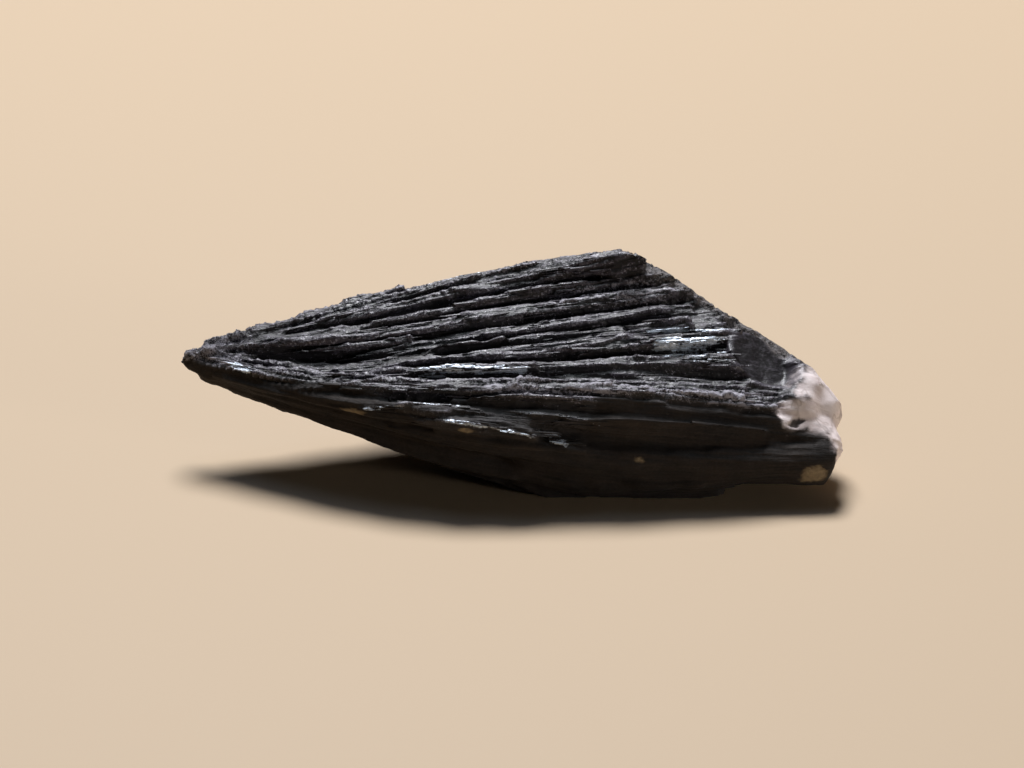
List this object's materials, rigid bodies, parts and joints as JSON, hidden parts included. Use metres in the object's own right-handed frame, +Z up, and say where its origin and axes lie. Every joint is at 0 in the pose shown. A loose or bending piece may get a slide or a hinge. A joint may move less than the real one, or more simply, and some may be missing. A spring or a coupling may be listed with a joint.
{
  "type": "black kyanite fan",
  "caption": "Natural black kyanite fan: striated blades spread from a pointed tip to a broad broken end, lying on a flat facet.",
  "frame": {"origin": "on the surface that the fan lies on, under the middle of its box", "axes": "+X along the blades, from the pointed tip to the broad end; +Z up; the widest striated face slopes down towards -Y"},
  "size_m": [0.0422, 0.0148, 0.0125],
  "materials": {
    "kyanite": "rough black blades with a silvery sheen on their ridges"
  },
  "bodies": {
    "root": {"kyanite_fan": "kyanite"}
  },
  "joints": []
}
